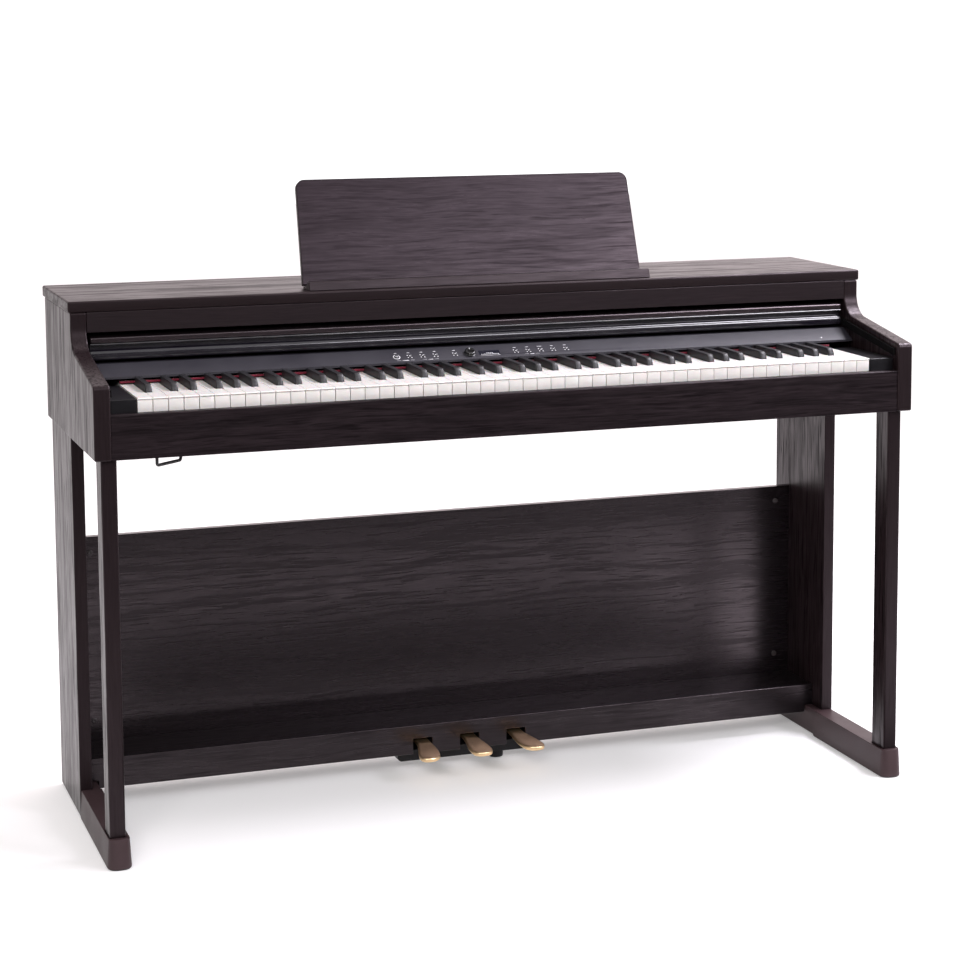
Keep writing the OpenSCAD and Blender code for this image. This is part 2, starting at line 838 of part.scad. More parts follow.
// Levelling foot, screwed up under the plate and just clear of the floor
module adjuster_foot() {
  edge = 2.5;
  stem_top = 29;
  color([0.08, 0.08, 0.08]) translate([adjuster_x, adjuster_y, 0]) {
    rotate_extrude() polygon(concat(
      [[0, adjuster_pad_high], [0, adjuster_pad_low]],
      arc(adjuster_pad_r - edge, adjuster_pad_low + edge, edge, 270, 360),
      [[adjuster_pad_r, adjuster_pad_high]]
    ));
    translate([0, 0, adjuster_pad_low + 1]) cylinder(r = adjuster_r, h = stem_top - adjuster_pad_low - 1);
  }
}

side_panel_left();
side_panel_right();
top_panel();
rear_panel();
fascia();
bottom_board();
key_slip();
key_blocks();
key_cover();
key_cover_grip();
cover_guides();
key_felt();
key_chassis();
control_panel();
display_window();
volume_dial();
power_button();
voice_button_1();
voice_button_2();
voice_button_3();
voice_button_4();
function_button_1();
function_button_2();
function_button_3();
function_button_4();
function_button_5();
main_board();
speakers();
jack_box();
connector_panel();
music_rest_panel();
music_rest_ledge();
music_rest_hinges();
music_rest_straps();
stand_board_left();
stand_board_right();
front_leg_left();
front_leg_right();
foot_left();
foot_right();
back_board();
headphone_hook();
screw_caps();
pedal_beam();
pedal_left();
pedal_middle();
pedal_right();
pedal_axle();
pedal_springs();
pedal_base_plate();
adjuster_foot();
bass_white_keys();
bass_black_keys();
treble_white_keys();
treble_black_keys();
key_c4();
key_c_sharp4();
key_d4();
key_d_sharp4();
key_e4();
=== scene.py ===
import json
import math

import bmesh
import bpy
from mathutils import Matrix, Vector


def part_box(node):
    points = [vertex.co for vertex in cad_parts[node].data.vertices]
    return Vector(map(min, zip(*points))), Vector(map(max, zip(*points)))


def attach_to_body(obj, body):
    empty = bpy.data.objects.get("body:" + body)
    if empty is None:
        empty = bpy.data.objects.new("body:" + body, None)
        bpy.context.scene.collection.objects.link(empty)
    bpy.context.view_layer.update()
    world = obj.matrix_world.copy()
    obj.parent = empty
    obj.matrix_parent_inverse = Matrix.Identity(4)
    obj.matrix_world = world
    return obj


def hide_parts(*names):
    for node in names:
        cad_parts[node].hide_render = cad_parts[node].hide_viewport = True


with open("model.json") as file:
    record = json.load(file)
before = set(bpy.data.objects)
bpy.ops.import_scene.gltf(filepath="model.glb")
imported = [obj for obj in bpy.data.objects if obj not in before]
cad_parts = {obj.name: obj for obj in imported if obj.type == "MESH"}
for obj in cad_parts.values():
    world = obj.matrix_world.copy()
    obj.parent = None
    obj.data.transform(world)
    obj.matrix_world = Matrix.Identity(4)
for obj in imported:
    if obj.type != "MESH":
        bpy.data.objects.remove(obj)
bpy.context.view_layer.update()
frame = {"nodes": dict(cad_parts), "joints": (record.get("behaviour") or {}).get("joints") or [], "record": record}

MM = 0.001
LAMP_X = 604 * MM  # the power lamp, at the treble end of the control panel
BUTTON_COUNTS = (("voice", 4), ("function", 5))
LIGHT_TINT = (0.95, 0.92, 1.0)
BODY_OF = {node: body for body, nodes in frame["record"]["behaviour"]["bodies"].items() for node in nodes}


# ---------------------------------------------------------------- mesh helpers

def add_object(name, bm, hard=None):
    """Turns a bmesh into a smooth object. Edges that turn more than hard degrees stay hard."""
    mesh = bpy.data.meshes.new(name)
    bmesh.ops.recalc_face_normals(bm, faces=bm.faces)
    bm.to_mesh(mesh)
    bm.free()
    for polygon in mesh.polygons:
        polygon.use_smooth = True
    if hard:
        mesh.set_sharp_from_angle(angle=math.radians(hard))
    obj = bpy.data.objects.new(name, mesh)
    bpy.context.scene.collection.objects.link(obj)
    return obj


def round_edges(obj, width, segments=3, angle=28):
    """Rounds every edge sharper than angle, and keeps the flats flat."""
    bevel = obj.modifiers.new("round", "BEVEL")
    bevel.width = width
    bevel.segments = segments
    bevel.limit_method = "ANGLE"
    bevel.angle_limit = math.radians(angle)
    bevel.use_clamp_overlap = True
    bevel.harden_normals = True
    bevel.miter_outer = "MITER_ARC"
    return obj


def place(obj, material, node):
    """Gives a piece its material and body, and lets it stand for its CAD node."""
    obj.data.materials.clear()
    obj.data.materials.append(material)
    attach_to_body(obj, BODY_OF[node])
    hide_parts(node)
    return obj


def attach(obj, material, body):
    """A detail that stands for no CAD node of its own."""
    obj.data.materials.append(material)
    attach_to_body(obj, body)
    return obj


def welded(node):
    """A bmesh of a CAD node with its flat faces joined up."""
    bm = bmesh.new()
    bm.from_mesh(frame["nodes"][node].data)
    bmesh.ops.remove_doubles(bm, verts=bm.verts, dist=1e-6)
    bmesh.ops.dissolve_limit(bm, angle_limit=math.radians(0.5), verts=bm.verts, edges=bm.edges)
    return bm


def dress(node, material, radius_mm, segments=3):
    """The node's own shape with rounded edges and its finish."""
    obj = add_object(node + "_shell", welded(node), 35)
    place(round_edges(obj, radius_mm * MM, segments), material, node)


def solids(node):
    """Boxes of the separate solids in a node, from left to right."""
    bm = bmesh.new()
    bm.from_mesh(frame["nodes"][node].data)
    bmesh.ops.remove_doubles(bm, verts=bm.verts, dist=1e-6)
    seen, boxes = set(), []
    for start in bm.verts:
        if start in seen:
            continue
        stack, island = [start], []
        seen.add(start)
        while stack:
            vert = stack.pop()
            island.append(vert.co.copy())
            for edge in vert.link_edges:
                other = edge.other_vert(vert)
                if other not in seen:
                    seen.add(other)
                    stack.append(other)
        low = Vector([min(c[i] for c in island) for i in range(3)])
        high = Vector([max(c[i] for c in island) for i in range(3)])
        boxes.append((low, high))
    bm.free()
    return sorted(boxes, key=lambda b: b[0].x)


def add_loft(bm, rings):
    """Joins rings of points, all of one length, into a skin with closed ends."""
    loops = [[bm.verts.new(p) for p in ring] for ring in rings]
    for a, b in zip(loops, loops[1:]):
        for i in range(len(a)):
            j = (i + 1) % len(a)
            bm.faces.new((a[i], a[j], b[j], b[i]))
    bm.faces.new(loops[0])
    bm.faces.new(list(reversed(loops[-1])))


def add_box(bm, low, high):
    """Adds a closed box between two corners."""
    x0, y0, z0 = low
    x1, y1, z1 = high
    rings = [[(x0, y0, z), (x1, y0, z), (x1, y1, z), (x0, y1, z)] for z in (z0, z1)]
    add_loft(bm, rings)


def add_lathe(bm, profile, matrix, steps=40):
    """Turns (radius, height) points about the matrix's Z axis."""
    turn = [2 * math.pi * i / steps for i in range(steps)]
    rings = []
    for radius, height in profile:
        rings.append([matrix @ Vector((radius * math.cos(t), radius * math.sin(t), height)) for t in turn])
    add_loft(bm, rings)


def arc(centre, radius, start, end, steps):
    """Points along part of a circle, from start to end in degrees."""
    angles = [math.radians(start + (end - start) * i / steps) for i in range(steps + 1)]
    return [(centre[0] + radius * math.cos(a), centre[1] + radius * math.sin(a)) for a in angles]


def evaluated_mesh(obj):
    """The mesh that an object's curve or modifiers make."""
    bpy.context.view_layer.update()
    return bpy.data.meshes.new_from_object(obj.evaluated_get(bpy.context.evaluated_depsgraph_get()))


def joint_named(name):
    """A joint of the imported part."""
    return next(joint for joint in frame["joints"] if joint["name"] == name)


def tube(name, points, radius, smooth_turns=True):
    """A round wire through the points."""
    curve = bpy.data.curves.new(name, "CURVE")
    curve.dimensions = "3D"
    curve.bevel_depth = radius
    curve.bevel_resolution = 5
    curve.use_fill_caps = True
    curve.resolution_u = 10
    spline = curve.splines.new("NURBS" if smooth_turns else "POLY")
    spline.points.add(len(points) - 1)
    for target, point in zip(spline.points, points):
        target.co = (*point, 1)
    if smooth_turns:
        spline.order_u = 3
        spline.use_endpoint_u = True
    obj = bpy.data.objects.new(name, curve)
    bpy.context.scene.collection.objects.link(obj)
    mesh = evaluated_mesh(obj)
    bpy.data.objects.remove(obj)
    for polygon in mesh.polygons:
        polygon.use_smooth = True
    solid = bpy.data.objects.new(name, mesh)
    bpy.context.scene.collection.objects.link(solid)
    return solid


# ---------------------------------------------------------------- materials

class Shader:
    """A small builder around one Principled material."""

    def __init__(self, name):
        self.material = bpy.data.materials.new(name)
        self.material.use_nodes = True
        self.tree = self.material.node_tree
        self.bsdf = self.tree.nodes["Principled BSDF"]
        self.coord = self.tree.nodes.new("ShaderNodeTexCoord")

    def node(self, kind, **values):
        made = self.tree.nodes.new(kind)
        for key, value in values.items():
            if hasattr(made, key):
                setattr(made, key, value)
            else:
                made.inputs[key.replace("_", " ")].default_value = value
        return made

    def link(self, a, b):
        self.tree.links.new(a, b)

    def set(self, **values):
        for key, value in values.items():
            self.bsdf.inputs[key.replace("_", " ")].default_value = value

    def coordinates(self, scale=(1, 1, 1), vector=None):
        """Object coordinates, or another vector, stretched by a scale for each axis."""
        mapping = self.node("ShaderNodeMapping")
        mapping.inputs["Scale"].default_value = scale
        self.link(vector or self.coord.outputs["Object"], mapping.inputs["Vector"])
        return mapping.outputs["Vector"]

    def noise(self, vector, scale, detail=4.0, roughness=0.55, distortion=0.0):
        made = self.node("ShaderNodeTexNoise", Scale=scale, Detail=detail,
                         Roughness=roughness, Distortion=distortion)
        self.link(vector, made.inputs["Vector"])
        return made.outputs["Fac"]

    def remap(self, value, low, high, to_low, to_high):
        made = self.node("ShaderNodeMapRange")
        for key, number in zip(("From Min", "From Max", "To Min", "To Max"), (low, high, to_low, to_high)):
            made.inputs[key].default_value = number
        self.link(value, made.inputs["Value"])
        return made.outputs["Result"]

    def mix(self, factor, a, b):
        """Mixes two colours, each a socket or a plain colour."""
        made = self.node("ShaderNodeMix", data_type="RGBA")
        for socket, value in ((made.inputs[0], factor), (made.inputs[6], a), (made.inputs[7], b)):
            if isinstance(value, bpy.types.NodeSocket):
                self.link(value, socket)
            elif isinstance(value, float):
                socket.default_value = value
            else:
                socket.default_value = (*value, 1)
        return made.outputs[2]

    def math(self, operation, a, b=0.0):
        made = self.node("ShaderNodeMath", operation=operation)
        for socket, value in zip(made.inputs, (a, b)):
            if isinstance(value, bpy.types.NodeSocket):
                self.link(value, socket)
            else:
                socket.default_value = value
        return made.outputs[0]

    def bump(self, height, strength, distance):
        made = self.node("ShaderNodeBump", Strength=strength, Distance=distance)
        self.link(height, made.inputs["Height"])
        self.link(made.outputs["Normal"], self.bsdf.inputs["Normal"])

    def colour(self, socket):
        self.link(socket, self.bsdf.inputs["Base Color"])

    def mottle(self, noise, a, b, low=0.3, high=0.7):
        """Colours the surface from a to b while the noise goes from low to high."""
        self.colour(self.mix(self.remap(noise, low, high, 0, 1), a, b))

    def roughness(self, socket):
        self.link(socket, self.bsdf.inputs["Roughness"])


GRAIN_ALONG = {"x": (0.045, 1, 1), "y": (1, 0.045, 1), "z": (1, 1, 0.045)}


def wood(name, grain, dark, light, roughness, lustre, veins, figure, relief=1.0, shaded_fronts=False):
    """Dark rosewood foil: fine streaks, growth figure and open veins that break the satin lacquer.

    lustre is the lacquer's reflectance between the streaks and on them, and veins and figure are how dark
    the pores and the growth lines are. On faces that point to the front or rear the light streaks and the veins
    mostly fade, so those faces come out plainer and on the whole darker: painted shade by the way a face points."""
    shader = Shader(name)
    wander = shader.node("ShaderNodeTexNoise", Scale=4.0, Detail=2.0, Roughness=0.5)
    shader.link(shader.coord.outputs["Object"], wander.inputs["Vector"])
    shift = shader.node("ShaderNodeVectorMath", operation="MULTIPLY_ADD")
    shader.link(wander.outputs["Color"], shift.inputs[0])
    shift.inputs[1].default_value = (0.016, 0.016, 0.016)
    shader.link(shader.coord.outputs["Object"], shift.inputs[2])
    long = shader.coordinates(GRAIN_ALONG[grain], shift.outputs["Vector"])
    streaks = shader.remap(shader.noise(long, 420.0, 4.0, 0.6, 0.2), 0.32, 0.68, 0, 1)
    bands = shader.remap(shader.noise(long, 55.0, 3.0, 0.55, 0.5), 0.4, 0.7, 0.0, 0.5)
    rings = shader.math("SINE", shader.math("MULTIPLY", shader.noise(long, 8.0, 2.0, 0.45, 0.4), 70.0))
    vein = shader.remap(shader.noise(long, 170.0, 3.0, 0.6, 0.3), 0.54, 0.62, 0.0, veins)
    furrow = shader.math("MAXIMUM", vein, shader.remap(rings, 0.3, 1.0, 0.0, figure))
    # faces that point to the front or rear lose most of their light streaks and veins: painted shade by facing
    if shaded_fronts:
        face = shader.node("ShaderNodeSeparateXYZ")
        shader.link(shader.coord.outputs["Normal"], face.inputs[0])
        facing_shade = shader.remap(shader.math("ABSOLUTE", face.outputs["Y"]), 0.5, 0.9, 1.0, 0.15)
        furrow = shader.math("MULTIPLY", furrow, facing_shade)
        streaks = shader.math("MULTIPLY", streaks, facing_shade)
    deep = tuple(c * 0.4 for c in dark)
    tone = shader.mix(bands, shader.mix(streaks, dark, light), dark)
    shader.colour(shader.mix(furrow, tone, deep))
    satin = shader.remap(streaks, 0, 1, roughness + 0.06, roughness - 0.03)
    shader.roughness(shader.math("ADD", satin, shader.math("MULTIPLY", furrow, 0.3)))
    shader.bump(shader.math("SUBTRACT", shader.math("MULTIPLY", streaks, 0.5), furrow), 0.4, 0.00014 * relief)
    lacquer = shader.math("MULTIPLY", shader.remap(streaks, 0, 1, *lustre),
                          shader.math("SUBTRACT", 1.0, furrow))
    shader.link(lacquer, shader.bsdf.inputs["Specular IOR Level"])
    shader.set(Specular_Tint=(1.0, 0.84, 0.9, 1))
    return shader.material


def moulded(name, base, roughness=0.4, grit=1400.0, depth=0.00008, wear=0.25, coat=0.0, gloss=0.5):
    """Injection-moulded plastic with a spark-eroded texture and faint rub marks.

    grit is the texture's fineness and depth its height in metres, and wear is how pale the marks are."""
    shader = Shader(name)
    plain = shader.coordinates()
    grain = shader.noise(plain, grit, 2.0, 0.6)
    cloud = shader.noise(plain, 18.0, 4.0, 0.55)
    lighter = tuple(min(1, c * (1 + wear) + 0.004) for c in base)
    shader.mottle(cloud, base, lighter)
    shader.roughness(shader.math("ADD", shader.remap(cloud, 0.3, 0.7, roughness - 0.05, roughness + 0.06),
                                 shader.remap(grain, 0.3, 0.7, -0.02, 0.03)))
    shader.bump(grain, 0.5, depth)
    shader.set(Specular_IOR_Level=gloss)
    if coat:
        shader.set(Coat_Weight=coat, Coat_Roughness=0.12)
    return shader.material


def ivory(name):
    """White key plastic: warm, slightly translucent, satin with the faintest level grain."""
    shader = Shader(name)
    along = shader.coordinates((1, 0.06, 1))
    grain = shader.noise(along, 700.0, 3.0, 0.6)
    cloud = shader.noise(shader.coordinates(), 12.0, 3.0)
    shader.mottle(cloud, (0.71, 0.69, 0.665), (0.76, 0.74, 0.715))
    shader.roughness(shader.remap(grain, 0.3, 0.7, 0.26, 0.36))
    shader.bump(grain, 0.25, 0.00005)
    shader.set(Subsurface_Weight=0.12, Subsurface_Scale=0.002, Coat_Weight=0.2, Coat_Roughness=0.18)
    return shader.material


def ebony(name):
    """Black key plastic, matt and lightly brushed along the key."""
    shader = Shader(name)
    along = shader.coordinates((1, 0.05, 1))
    grain = shader.noise(along, 900.0, 3.0, 0.65)
    shader.mottle(grain, (0.005, 0.0045, 0.006), (0.011, 0.0105, 0.013), 0.35, 0.65)
    shader.roughness(shader.remap(grain, 0.3, 0.7, 0.42, 0.54))
    shader.bump(grain, 0.4, 0.0001)
    return shader.material


def brass(name, base, roughness):
    """Polished brass, drawn along its length, with finger haze."""
    shader = Shader(name)
    lines = shader.noise(shader.coordinates((1, 0.03, 1)), 1500.0, 3.0, 0.6)
    haze = shader.noise(shader.coordinates(), 60.0, 4.0, 0.6)
    shader.mottle(haze, base, tuple(c * 0.92 for c in base), 0.35)
    shader.roughness(shader.math("ADD", shader.remap(haze, 0.3, 0.7, roughness - 0.02, roughness + 0.05),
                                 shader.remap(lines, 0.3, 0.7, -0.02, 0.03)))
    shader.bump(lines, 0.1, 0.00002)
    shader.set(Metallic=1.0)
    return shader.material


def steel(name, base, roughness):
    """Zinc-plated steel with a rolled grain along X."""
    shader = Shader(name)
    lines = shader.noise(shader.coordinates((0.03, 1, 1)), 900.0, 3.0, 0.6)
    patches = shader.noise(shader.coordinates(), 40.0, 4.0, 0.6)
    shader.mottle(patches, base, tuple(c * 0.8 for c in base))
    shader.roughness(shader.remap(lines, 0.3, 0.7, roughness - 0.06, roughness + 0.1))
    shader.bump(lines, 0.2, 0.00005)
    shader.set(Metallic=1.0)
    return shader.material


def felt(name, base):
    """Pressed wool felt: fuzzy, dull and slightly mottled."""
    shader = Shader(name)
    fuzz = shader.noise(shader.coordinates(), 1100.0, 6.0, 0.75)
    cloud = shader.noise(shader.coordinates(), 120.0, 3.0)
    shader.mottle(cloud, base, tuple(c * 0.6 for c in base))
    shader.bump(fuzz, 0.9, 0.0004)
    shader.set(Roughness=0.95, Sheen_Weight=0.25, Sheen_Roughness=0.5)
    shader.bsdf.inputs["Sheen Tint"].default_value = (1.0, 0.5, 0.5, 1)
    return shader.material


def circuit(name):
    """Green solder mask with lighter tracks."""
    shader = Shader(name)
    tracks = shader.node("ShaderNodeTexVoronoi", Scale=220.0)
    tracks.feature = "DISTANCE_TO_EDGE"
    shader.link(shader.coordinates((1, 1, 0.01)), tracks.inputs["Vector"])
    mask = shader.remap(tracks.outputs["Distance"], 0.02, 0.06, 1, 0)
    shader.colour(shader.mix(mask, (0.01, 0.09, 0.04), (0.03, 0.2, 0.09)))
    shader.bump(mask, 0.3, 0.0001)
    shader.set(Roughness=0.3)
    return shader.material


def smoked_glass(name):
    """Dark display window: a glossy skin over a blue-black ground with a faint grid of cells."""
    shader = Shader(name)
    cells = shader.node("ShaderNodeTexChecker", Scale=1600.0)
    shader.link(shader.coordinates(), cells.inputs["Vector"])
    shader.colour(shader.mix(cells.outputs["Fac"], (0.004, 0.005, 0.012), (0.007, 0.008, 0.018)))
    smear = shader.noise(shader.coordinates(), 90.0, 4.0)
    shader.roughness(shader.remap(smear, 0.3, 0.7, 0.06, 0.14))
    shader.set(Coat_Weight=0.6, Coat_Roughness=0.05)
    return shader.material


def print_ink(name, base):
    """Screen-printed marking ink."""
    shader = Shader(name)
    speck = shader.noise(shader.coordinates(), 2600.0, 2.0)
    shader.mottle(speck, base, tuple(c * 0.8 for c in base))
    shader.roughness(shader.remap(speck, 0.3, 0.7, 0.4, 0.55))
    return shader.material


WOOD_SIDE = wood("rosewood_upright", "z", (0.007, 0.0038, 0.0044), (0.018, 0.0105, 0.0120),
                 roughness=0.32, lustre=(0.2, 0.6), veins=0.62, figure=0.25, shaded_fronts=True)
WOOD_FLAT = wood("rosewood_level", "x", (0.0048, 0.0029, 0.0036), (0.0145, 0.0098, 0.0116),
                 roughness=0.38, lustre=(0.1, 0.24), veins=0.6, figure=0.45)
WOOD_TOP = wood("rosewood_top", "x", (0.008, 0.0048, 0.0052), (0.024, 0.0150, 0.0158),
                roughness=0.32, lustre=(0.22, 0.34), veins=0.55, figure=0.35, shaded_fronts=True)
WOOD_REST = wood("rosewood_rest", "x", (0.009, 0.0060, 0.0080), (0.017, 0.0115, 0.0155),
                 roughness=0.3, lustre=(0.14, 0.25), veins=0.3, figure=0.14, relief=0.5)
# a far darker copy of the rosewood for the back board, the bottom board and the rear panel: painted shade
WOOD_BACK_SHADED = wood("rosewood_back_shaded", "x", (0.0018, 0.0011, 0.0015), (0.0045, 0.0032, 0.0040),
                 roughness=0.23, lustre=(0.6, 0.8), veins=0.25, figure=0.18, relief=0.5)
# a far darker copy of the rosewood for the pedal beam under the keyboard: painted shade
WOOD_BEAM_SHADED = wood("rosewood_beam_shaded", "x", (0.0018, 0.0012, 0.0016), (0.0040, 0.0030, 0.0036),
                 roughness=0.28, lustre=(0.42, 0.54), veins=0.25, figure=0.15, relief=0.4)
WOOD_COVER = wood("rosewood_cover", "x", (0.006, 0.0040, 0.0048), (0.012, 0.0084, 0.0100),
                  roughness=0.2, lustre=(0.85, 1.0), veins=0.2, figure=0.15, relief=0.3)
WOOD_SMOOTH = wood("rosewood_fascia", "x", (0.0085, 0.0056, 0.0064), (0.013, 0.0090, 0.0100),
                   roughness=0.36, lustre=(0.22, 0.3), veins=0.12, figure=0.1, relief=0.2)
BLACK = moulded("black_moulding", (0.0040, 0.0036, 0.0050),
                roughness=0.36, depth=0.00006, wear=0.2, gloss=0.25)
TRACK = moulded("track_moulding", (0.0012, 0.0009, 0.0012),
                roughness=0.7, depth=0.00004, wear=0.1, gloss=0.08)
BLACK_GRIP = moulded("grip_moulding", (0.0060, 0.0045, 0.0090),
                     roughness=0.2, grit=900.0, depth=0.000002, wear=0.02, coat=0.5)
GLOSS_BEAD = moulded("bead_moulding", (0.0060, 0.0045, 0.0080),
                     roughness=0.12, grit=900.0, depth=0.000001, wear=0.02, coat=1.0, gloss=1.0)
PANEL = moulded("panel_moulding", (0.0170, 0.0155, 0.0225),
                roughness=0.46, grit=1900.0, depth=0.00005, wear=0.1)
FOOT = moulded("foot_moulding", (0.036, 0.0205, 0.0225),
               roughness=0.42, grit=900.0, depth=0.0001, wear=0.2, gloss=0.22)
DIAL = moulded("dial_moulding", (0.0035, 0.0035, 0.0040),
               roughness=0.16, grit=1200.0, depth=0.00001, wear=0.05, coat=0.7)
RUBBER = moulded("rubber", (0.014, 0.014, 0.014), roughness=0.7, grit=700.0, depth=0.0002)
BUTTON = moulded("button_moulding", (0.022, 0.022, 0.025), roughness=0.45, grit=1500.0, depth=0.00005)
HOOK = moulded("hook_coating", (0.010, 0.010, 0.010), roughness=0.28, grit=600.0, depth=0.00006)
CAP = moulded("cap_moulding", (0.03, 0.023, 0.024))
IVORY = ivory("key_ivory")
EBONY = ebony("key_ebony")
BRASS = brass("pedal_brass", (0.94, 0.70, 0.42), 0.3)
STEEL = steel("zinc_steel", (0.56, 0.57, 0.59), 0.34)
FELT = felt("red_felt", (0.21, 0.004, 0.028))
CIRCUIT = circuit("circuit_board")
GLASS = smoked_glass("smoked_window")
INK = print_ink("white_print", (0.78, 0.78, 0.80))
LIGHT_INK = print_ink("bright_print", (0.9, 0.9, 0.92))
CARD = moulded("black_card", (0.01, 0.01, 0.01), roughness=0.9)
VELVET = moulded("matt_black_card", (0.001, 0.001, 0.001), roughness=0.9, wear=0.0, gloss=0.0)


# ---------------------------------------------------------------- cabinet and stand

def cabinet():
    """The wooden and steel pieces, nearly all of them the CAD shape with rounded edges and a finish."""
    for side in ("left", "right"):
        dress(f"side_panel_{side}", WOOD_SIDE, 3.0, 4)
        dress(f"stand_board_{side}", WOOD_SIDE, 1.2)
        dress(f"front_leg_{side}", WOOD_SIDE, 3.0, 4)
    dress("top_panel", WOOD_TOP, 3.0, 4)
    dress("rear_panel", WOOD_BACK_SHADED, 0.8)
    dress("fascia", WOOD_SMOOTH, 1.0)
    dress("bottom_board", WOOD_BACK_SHADED, 0.6)
    key_slip()
    dress("back_board", WOOD_BACK_SHADED, 1.0)
    dress("pedal_beam", WOOD_BEAM_SHADED, 1.6, 4)
    dress("key_blocks", BLACK, 1.4, 4)
    dress("key_cover", WOOD_COVER, 2.2, 4)
    cover_grip()
    dress("cover_guides", TRACK, 0.8)
    dress("key_chassis", STEEL, 0.3, 2)
    dress("main_board", CIRCUIT, 0.3, 2)
    dress("speakers", BLACK, 0.25, 2)
    dress("jack_box", BLACK, 0.8)
    dress("connector_panel", BLACK, 0.6)
    dress("music_rest_panel", WOOD_REST, 1.6, 4)
    dress("music_rest_ledge", WOOD_SMOOTH, 1.6, 4)
    dress("music_rest_hinges", STEEL, 0.3, 2)
    dress("music_rest_straps", STEEL, 0.3, 2)
    dress("pedal_base_plate", BLACK, 1.2)
    dress("pedal_axle", STEEL, 0.5)
    dress("control_panel", PANEL, 0.5, 2)


def cover_grip():
    """The cover's finger rail: a glossy bead under the board, a hollow and a rounded bar."""
    low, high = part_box("key_cover_grip")
    front, rear = low.y, high.y
    board_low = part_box("key_cover")[0].z
    bar_radius = 8.5 * MM
    lower_radius = 4 * MM
    bar_top = low.z + 17 * MM
    wall = front + bar_radius
    lip = front + 2.6 * MM
    lip_low = board_low - 3 * MM
    profile = [(rear, high.z), (front + 4 * MM, board_low + 0.5 * MM), (lip, board_low)]
    profile += [(lip, lip_low), (wall, lip_low)]
    profile += arc((wall, bar_top - bar_radius), bar_radius, 90, 180, 14)
    profile += arc((front + lower_radius, low.z + lower_radius), lower_radius, 180, 270, 8)
    profile += [(rear, low.z)]
    bm = bmesh.new()
    add_loft(bm, [[(x, y, z) for y, z in profile] for x in (low.x, high.x)])
    place(add_object("cover_grip", bm, 40), BLACK_GRIP, "key_cover_grip")
    bead_radius, short = 1.6 * MM, 0.5 * MM
    ring = arc((front + 1.8 * MM, board_low - 1.7 * MM), bead_radius, 0, 345, 23)
    bm = bmesh.new()
    add_loft(bm, [[(x, y, z) for y, z in ring] for x in (low.x + short, high.x - short)])
    attach(add_object("cover_bead", bm, 40), GLOSS_BEAD, BODY_OF["key_cover_grip"])


def foot(side):
    """One moulded foot: a drafted bar with a rounded nose and a socket for the front leg."""
    node = f"foot_{side}"
    low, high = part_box(node)
    leg_low, leg_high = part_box(f"front_leg_{side}")
    board_low, board_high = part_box(f"stand_board_{side}")
    sign = 1 if side == "right" else -1
    inner, outer = sorted((abs(low.x), abs(high.x)))
    front, top, rear = low.y, high.z, board_low.y
    draft, nose = 2.5 * MM, 4.5 * MM
    toe_radius, crown_radius = 15 * MM, 10 * MM
    glide, skirt = 1.6 * MM, 4 * MM

    def outline(shrink, lead, radius, height):
        x_in, x_out = inner + shrink, outer - shrink
        points = [(x_in, rear)]
        points += arc((x_in + radius, lead + radius), radius, 180, 270, 8)
        points += arc((x_out - radius, lead + radius), radius, 270, 360, 8)
        points += [(x_out, rear)]
        return [(sign * x, y, height) for x, y in points]

    bm = bmesh.new()
    add_loft(bm, [outline(0, front, toe_radius, glide), outline(0, front, toe_radius, skirt),
                  outline(draft, front + nose, crown_radius, top)])
    body = add_object(node + "_bar", bm)
    cutter_bm = bmesh.new()
    gap = 0.9 * MM
    add_box(cutter_bm, (leg_low.x - gap, leg_low.y - gap, top - 6 * MM),
            (leg_high.x + gap, leg_high.y + gap, top + 5 * MM))
    cutter = add_object(node + "_cutter", cutter_bm)
    cut = body.modifiers.new("socket", "BOOLEAN")
    cut.object = cutter
    cut.operation = "DIFFERENCE"
    cut.solver = "EXACT"
    shaped = evaluated_mesh(body)
    body.modifiers.clear()
    body.data = shaped
    bpy.data.objects.remove(cutter)
    body.data.set_sharp_from_angle(angle=math.radians(35))
    round_edges(body, 1.3 * MM, 3, 40)
    place(body, FOOT, node)
    tail = bmesh.new()
    tail_in = sign * (inner + draft * 1.6)
    tail_out = sign * min(abs(board_low.x), abs(board_high.x))
    add_box(tail, (min(tail_in, tail_out), rear - 1 * MM, glide), (max(tail_in, tail_out), high.y, top))
    tail_piece = round_edges(add_object(node + "_tail", tail), 1.0 * MM)
    attach(tail_piece, FOOT, BODY_OF[node])
    pad = bmesh.new()
    inset = 1.5 * MM
    add_loft(pad, [outline(inset, front + inset, toe_radius - 1 * MM, height) for height in (0.0, glide)])
    attach(round_edges(add_object(node + "_glide", pad), 0.4 * MM, 2), RUBBER, BODY_OF[node])


def screw_caps():
    """Domed caps with a small hollow, on the front of the back board and the rear of the rear panel."""
    bm = bmesh.new()
    rear_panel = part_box("rear_panel")[0].y
    for low, high in solids("screw_caps"):
        centre = (low + high) / 2
        radius = (high.x - low.x) / 2
        on_front = centre.y < rear_panel
        facing = Matrix.Rotation(math.radians(90 if on_front else -90), 4, "X")
        seat = Vector((centre.x, high.y if on_front else low.y, centre.z))
        thick = high.y - low.y
        profile = [(radius, 0), (radius, thick * 0.5), (radius * 0.88, thick * 0.85), (radius * 0.5, thick),
                   (radius * 0.3, thick), (radius * 0.24, thick * 0.55)]
        add_lathe(bm, profile, Matrix.Translation(seat) @ facing, 28)
    place(add_object("screw_cap_set", bm), CAP, "screw_caps")


